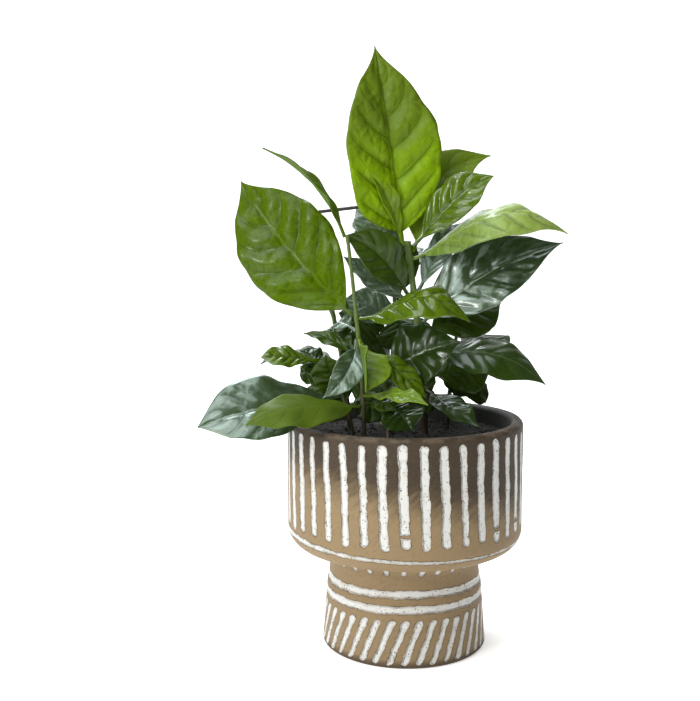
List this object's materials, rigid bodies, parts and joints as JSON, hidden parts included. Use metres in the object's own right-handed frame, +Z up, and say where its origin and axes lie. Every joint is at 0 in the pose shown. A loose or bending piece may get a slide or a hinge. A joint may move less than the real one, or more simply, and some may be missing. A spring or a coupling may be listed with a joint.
{
  "type": "potted_coffee_plant",
  "caption": "Young coffee plant with glossy pointed leaves on thin stems, growing in soil in a footed ceramic pot with white glazed stripes; decorates a table or sill.",
  "frame": {"origin": "centre of the pot's flat base, where it stands", "axes": "+Z up along the pot's axis; +X right and +Y back as seen from the front, where the young light leaves face"},
  "size_m": [0.2065, 0.1738, 0.3538],
  "materials": {
    "pot": "matt brown and tan stoneware with white speckled glaze stripes",
    "soil": "dark crumbly potting soil",
    "stem": "green soft stem, browner at the soil",
    "leaf_light": "young yellow-green leaf, satin",
    "leaf_mid": "mid green leaf, satin",
    "leaf_dark": "dark green leaf, glossy",
    "twig": "dry dark bark"
  },
  "bodies": {
    "root": {"pot": "pot", "soil": "soil", "stem_main": "stem", "stem_left": "stem", "stem_low_left": "stem", "stem_front": "stem", "stem_right": "stem", "stem_back": "stem", "stem_back_left": "stem", "leaf_top": "leaf_light", "leaf_top_young": "leaf_mid", "leaf_top_fresh": "leaf_light", "leaf_top_behind": "leaf_dark", "leaf_grey_behind": "leaf_dark", "leaf_arching_right": "leaf_light", "leaf_tall_behind": "leaf_dark", "leaf_dark_centre": "leaf_dark", "leaf_under_centre": "leaf_dark", "leaf_glossy_right": "leaf_dark", "leaf_dark_right_behind": "leaf_dark", "leaf_drooping_right": "leaf_dark", "leaf_low_right_behind": "leaf_dark", "leaf_rim_right": "leaf_dark", "leaf_left_big": "leaf_mid", "leaf_left_narrow": "leaf_mid", "leaf_arching_front": "leaf_light", "leaf_dark_back_left": "leaf_dark", "leaf_light_folded": "leaf_light", "leaf_blue_folded": "leaf_dark", "leaf_thin_left": "leaf_dark", "leaf_behind_light": "leaf_mid", "leaf_light_right": "leaf_light", "leaf_front_small": "leaf_dark", "leaf_light_low": "leaf_light", "leaf_quilted": "leaf_light", "leaf_shiny_left": "leaf_dark", "leaf_oval_left": "leaf_dark", "leaf_dark_low": "leaf_dark", "leaf_centre_shiny": "leaf_dark", "leaf_front_hanging": "leaf_dark", "leaf_back_1": "leaf_dark", "leaf_back_2": "leaf_dark", "leaf_back_3": "leaf_dark", "leaf_back_4": "leaf_dark", "leaf_fill_4": "leaf_dark", "leaf_fill_3": "leaf_dark", "leaf_fill_2": "leaf_dark", "leaf_fill_1": "leaf_dark", "leaf_back_left_1": "leaf_dark", "leaf_back_left_2": "leaf_dark", "leaf_back_left_3": "leaf_dark", "leaf_fill_5": "leaf_dark", "leaf_back_right_1": "leaf_dark", "leaf_back_right_2": "leaf_dark", "leaf_fill_6": "leaf_dark", "leaf_veined_left": "leaf_dark", "leaf_dark_left": "leaf_dark", "leaf_mid_left": "leaf_dark", "leaf_small_low_left": "leaf_dark", "twig": "twig"}
  },
  "joints": []
}
